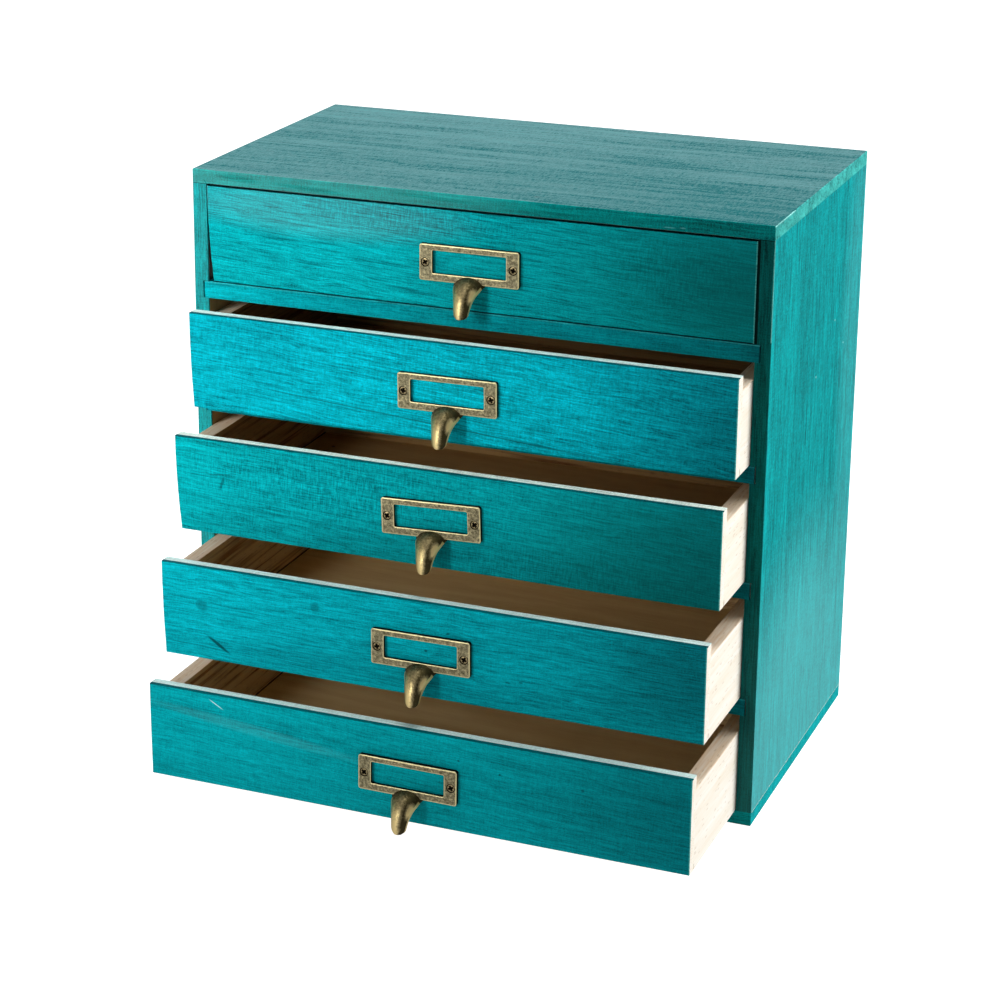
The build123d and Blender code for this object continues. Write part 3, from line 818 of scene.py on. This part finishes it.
def labelFrame(build):
    # rings of points from the back of the rim, over the face and down into the window
    rubbed = wearLayers(build)[0]
    width, height, thick = pull["plate"]
    windowWidth = width - 2 * pull["sideBar"]
    windowHeight = height - pull["upperBar"] - pull["lowerBar"]
    middle = pull["lowerBar"] + (windowHeight - height) / 2
    bevel, windowBevel = pull["bevel"], pull["windowBevel"]
    rings = [(0, 0, 0.0, 0.0), (0, 0, thick - bevel, 0.25)]
    rings += [(0, bevel * (1 - cos(radians(a))), thick - bevel * (1 - sin(radians(a))), 1.0)
              for a in (30, 60)]
    rings += [(0, bevel, thick, 0.9), (0, bevel + 0.35, thick, 0.45),
              (1, -windowBevel - 0.35, thick, 0.45), (1, -windowBevel, thick, 0.8)]
    rings += [(1, -windowBevel * (1 - sin(radians(a))), thick - windowBevel * (1 - cos(radians(a))),
               1.0) for a in (30, 60)]
    rings += [(1, 0, thick - windowBevel, 0.5), (1, 0, pull["cardRecess"], 0.0),
              (1, -pull["cardLap"], pull["cardRecess"], 0.0), (1, -pull["cardLap"], 0.0, 0.0)]
    firstHollow = len(rings) - 4  # the window's walls and the recess for the card
    loops = []
    for window, inset, out, wear in rings:
        if window:
            points = roundedLoop(windowWidth - 2 * inset, windowHeight - 2 * inset,
                                 max(pull["windowCorner"] - inset, 0.1), middle)
        else:
            points = roundedLoop(width - 2 * inset, height - 2 * inset,
                                 pull["corner"] - inset, 0)
        loop = []
        for x, z in points:
            vertex = build.verts.new((x, -out, z))
            vertex[rubbed] = wear
            loop.append(vertex)
        loops.append(loop)
    count = len(loops[0])
    for index, (a, b) in enumerate(zip(loops, loops[1:] + loops[:1])):
        for k in range(count):
            face = build.faces.new((a[k], a[(k + 1) % count], b[(k + 1) % count], b[k]))
            face.material_index = 1 if index == 0 or index >= firstHollow else 0


def between(rows, at, column):
    # smooth value of a column of the hook's sections at this many degrees
    for k in range(len(rows) - 1):
        if at <= rows[k + 1][0]:
            break
    low, high = rows[k], rows[k + 1]
    before, after = rows[max(k - 1, 0)], rows[min(k + 2, len(rows) - 1)]
    span = high[0] - low[0]
    share = (at - low[0]) / span
    slopeLow = (high[column] - before[column]) / max(high[0] - before[0], 1e-6) * span
    slopeHigh = (after[column] - low[column]) / max(after[0] - low[0], 1e-6) * span
    s2, s3 = share * share, share ** 3
    return ((2 * s3 - 3 * s2 + 1) * low[column] + (s3 - 2 * s2 + share) * slopeLow
            + (3 * s2 - 2 * s3) * high[column] + (s3 - s2) * slopeHigh)


def hook(build):
    # outer and inner skins of the shell, closed round the rim and at the rounded tip
    rubbed, polish = wearLayers(build)
    height, thick = pull["plate"][1:]
    rise = pull["lowerBar"] + pull["drop"] - pull["lowered"]
    reach = pull["reach"] + pull["root"]
    tipStart, tipHalf, halfLoss, tipArch, archLoss = pull["tip"]
    flareReach, flareWidth = pull["flare"]
    nose, noseReach = pull["nose"]
    flankHighlight, flankReach, flankTurn, flankLong = pull["flankHighlight"]
    alongCount, acrossCount = 40, 22
    skins = []
    for inner in (0, 1):
        rows = []
        for i in range(alongCount + 1):
            turn = 90 * (1 - (1 - i / alongCount) ** 1.3)
            half = between(pull["sections"], turn, 1) / 2
            arch = between(pull["sections"], turn, 2)
            if turn > tipStart:  # a blunt round end
                share = (turn - tipStart) / (90 - tipStart)
                half = tipHalf * sqrt(1 - share ** 2 * halfLoss)
                arch = tipArch * (1 - archLoss * share ** 2)
            angle = radians(turn)
            up = rise * cos(angle) - height / 2 - pull["drop"]
            out = thick - pull["root"] + reach * sin(angle)
            normalUp, normalOut = cos(angle) / rise, sin(angle) / reach
            size = hypot(normalUp, normalOut)
            normalUp, normalOut = normalUp / size, normalOut / size
            apex = 0.0
            if inner:
                wall = min(pull["wall"], arch * 0.6)
                half, apex, arch = half - min(pull["rim"], half * 0.4), -wall, arch - wall
            flare = 0.0
            if not inner:
                flare = max(0.0, 1 - max(out - thick, 0) / flareReach) ** 2 * flareWidth
            radius = (half * half + arch * arch) / (2 * arch)
            sweep = asin(min(half / radius, 1.0))
            if arch > half:
                sweep = pi - sweep
            row = []
            for k in range(acrossCount + 1):
                s = sweep * (2 * k / acrossCount - 1)
                side = (radius + flare) * sin(s)
                lift = (radius + flare) * cos(s) - radius + apex
                vertex = build.verts.new((side, -(out + normalOut * lift), up + normalUp * lift))
                across = 2 * k / acrossCount - 1
                # fingers have rubbed the left of the nose and both rims, made bright enough to
                # paint in their highlights as well; the right flank's bright patch is a painted
                # highlight
                wornAndHighlit = sin(angle) ** 1.2 * max(0.0, 1 - ((across - nose) / noseReach) ** 2)
                off = hypot((across - flankHighlight) / flankReach, (turn - flankTurn) / flankLong)
                wornAndHighlit = max(wornAndHighlit, pull["rimWearAndHighlight"] * (1 - min(off, 1)))
                if abs(across) > 0.9 and turn > 15:
                    wornAndHighlit = pull["rimWearAndHighlight"]
                shown = not inner or wornAndHighlit == pull["rimWearAndHighlight"]
                vertex[rubbed] = 0.1 + (0.9 * wornAndHighlit if shown else 0.0)
                vertex[polish] = pull["polish"]
                row.append(vertex)
            rows.append(row)
        skins.append(rows)
    outer, hollow = skins
    for rows, flip in ((outer, False), (hollow, True)):
        for i in range(alongCount):
            for k in range(acrossCount):
                corners = [rows[i][k], rows[i][k + 1], rows[i + 1][k + 1], rows[i + 1][k]]
                face = build.faces.new(corners[::-1] if flip else corners)
                face.material_index = 1 if flip else 0
    rimA = [r[0] for r in outer] + outer[-1][1:-1] + [r[-1] for r in outer[::-1]]
    rimB = [r[0] for r in hollow] + hollow[-1][1:-1] + [r[-1] for r in hollow[::-1]]
    rimA += outer[0][1:-1][::-1]
    rimB += hollow[0][1:-1][::-1]
    count = len(rimA)
    for k in range(count):
        build.faces.new((rimA[k], rimB[k], rimB[(k + 1) % count], rimA[(k + 1) % count]))


def pullMatrix(index):
    # where the plate's middle sits on its front, and how far it leans
    low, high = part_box(f"drawer_{index + 1}_pull")
    tilt = radians(pull["tilts"][index])
    halfWidth, halfHeight = (side / 2 - pull["corner"] for side in pull["plate"][:2])
    halfSpan = halfHeight * cos(tilt) + halfWidth * abs(sin(tilt)) + pull["corner"]
    place = Vector(((low.x + high.x) / 2, high.y, high.z - halfSpan * mm))
    return Matrix.Translation(place) @ Matrix.Rotation(-tilt, 4, "Y")


def finishMesh(build, name, place, materials=(), cutter=False):
    # a cutter leaves its second material, the oxide, on the faces that it makes
    for face in build.faces:
        face.material_index = 1 if cutter else face.material_index
    bmesh.ops.recalc_face_normals(build, faces=build.faces)
    build.transform(Matrix.Scale(mm, 4))
    mesh = bpy.data.meshes.new(name)
    build.to_mesh(mesh)
    build.free()
    mesh.transform(place)
    for face in mesh.polygons:
        face.use_smooth = True
    mesh.set_sharp_from_angle(angle=radians(pull["sharp"]))
    for material in materials:
        mesh.materials.append(material)
    return showObject(name, mesh)


def cutAway(piece, cutter):
    # boolean difference, applied, and the cutter removed
    work = piece.modifiers.new("cut", "BOOLEAN")
    work.operation = "DIFFERENCE"
    work.solver = "EXACT"
    work.object = cutter
    bpy.context.view_layer.update()
    shaped = bpy.data.meshes.new_from_object(piece.evaluated_get(
        bpy.context.evaluated_depsgraph_get()))
    piece.modifiers.clear()
    piece.data = shaped
    bpy.data.objects.remove(cutter)


def lathe(build, profile, x, z, count=28):
    # turns (radius, depth) pairs about the line through x, z that runs along y
    rings = []
    for radius, depth in profile:
        if radius == 0:
            rings.append([build.verts.new((x, depth, z))])
        else:
            rings.append([build.verts.new((x + radius * cos(2 * pi * k / count), depth,
                                           z + radius * sin(2 * pi * k / count)))
                          for k in range(count)])
    for a, b in zip(rings, rings[1:]):
        for k in range(count):
            n = (k + 1) % count
            ring = [a[k % len(a)], a[n % len(a)], b[n % len(b)], b[k % len(b)]]
            face = [v for i, v in enumerate(ring) if v not in ring[:i]]
            build.faces.new(face)


def makePull(index):
    place = pullMatrix(index)
    build = bmesh.new()
    labelFrame(build)
    finish = (makeAntiqueBrass(f"rubbedAntiqueBrass_{index + 1}", index + 1), oxide)
    piece = finishMesh(build, f"labelPull_{index + 1}", place, finish)
    spread = pull["plate"][0] / 2 - pull["screwInset"]
    thick = pull["plate"][2]
    build = bmesh.new()
    wide, narrow, above, deep = pull["countersink"]
    for x in (-spread, spread):
        lathe(build, [(0, -thick - above), (wide, -thick - above), (narrow, -thick + deep),
                      (narrow, above), (0, above)], x, 0)
    cutAway(piece, finishMesh(build, "countersink", place, finish, True))
    faceY = pullMatrix(index).translation.y - (thick - 0.05) * mm
    wear = piece.data.attributes["rubbed"].data
    for vertex in piece.data.vertices:  # the cut leaves no wear on the holes' edges
        if vertex.co.y < faceY and wear[vertex.index].value < 0.4:
            wear[vertex.index].value = pull["holeWear"]
    build = bmesh.new()
    hook(build)
    bend = finishMesh(build, "hook", place)
    build = bmesh.new()
    build.from_mesh(piece.data)
    build.from_mesh(bend.data)
    build.to_mesh(piece.data)
    build.free()
    bpy.data.objects.remove(bend)
    piece.data.set_sharp_from_angle(angle=radians(pull["sharp"]))
    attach(piece, f"drawer_{index + 1}")
    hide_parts(f"drawer_{index + 1}_pull")


for i in range(5):
    makePull(i)
print("pulls finished")

# pull screws: crossed countersunk heads, each left where the driver stopped
screw = {"head": 4.7, "shank": 2.4, "length": 8.4, "point": 1.6, "dome": 0.35,
         "cross": (4.2, 1.5, 0.95), "sink": 0.12,
         "turns": [(58, 8), (14, 71), (33, 50), (80, 22), (40, 65)],
         "bright": "#B8A67C", "dark": "#1E1A12", "roughness": 0.4}


def makeScrewBrass():
    material, tree = newMaterial("platedScrewBrass")  # dull brass plate, blackened recess
    mottle = addNode(tree, "TexNoise", None,
                     {"Vector": millimetres(tree), "Scale": 0.9, "Detail": 4.0}).outputs["Fac"]
    rubbed = addNode(tree, "Attribute", {"attribute_name": "rubbed"}).outputs["Fac"]
    level = sumOf(tree, [(mottle, 0.8), (rubbed, 1.1)], 0.35)
    finishSurface(tree, (mottle, 0.2, 0.0001), {
        "Base Color": paintOver(tree, screw["dark"], [(level, 1, screw["bright"])]),
        "Metallic": 1.0, "Roughness": screw["roughness"]})
    return material


screwBrass = makeScrewBrass()


def makeScrews(index):
    spread = pull["plate"][0] / 2 - pull["screwInset"]
    face = -pull["plate"][2] + screw["sink"]
    radius, shank = screw["head"] / 2 - 0.05, screw["shank"] / 2
    place = pullMatrix(index)
    build = bmesh.new()
    rubbed = build.verts.layers.float.new("rubbed")
    profile = [(0, face), (radius * 0.5, face + 0.02), (radius * 0.82, face + 0.1),
               (radius, face + 0.28), (shank, face + 1.5),
               (shank, face + screw["length"] - screw["point"]), (0, face + screw["length"])]
    for x in (-spread, spread):
        lathe(build, profile, x, 0)
    for vertex in build.verts:
        vertex[rubbed] = 1.0 if vertex.co.y < face + 0.2 else 0.0
    piece = finishMesh(build, f"pullScrews_{index + 1}", place, (screwBrass, oxide))
    span, slot, depth = screw["cross"]
    for extra in (0, 90):
        build = bmesh.new()
        for x, turn in zip((-spread, spread), screw["turns"][index]):
            bar = bmesh.ops.create_cube(build, size=1.0)["verts"]
            for v in bar:  # the recess narrows as it goes in
                inside = v.co.y > 0
                v.co = Vector((v.co.x * span * (0.45 if inside else 1), v.co.y * 2 * depth,
                               v.co.z * slot * (0.6 if inside else 1)))
            bmesh.ops.rotate(build, verts=bar,
                             matrix=Matrix.Rotation(radians(turn + extra), 3, "Y"))
            bmesh.ops.translate(build, verts=bar, vec=(x, face, 0))
        cutAway(piece, finishMesh(build, "driverRecess", place, (screwBrass, oxide), True))
    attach(piece, f"drawer_{index + 1}")
    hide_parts(f"drawer_{index + 1}_pull_screws")


for i in range(5):
    makeScrews(i)
print("screws finished")

low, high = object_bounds()
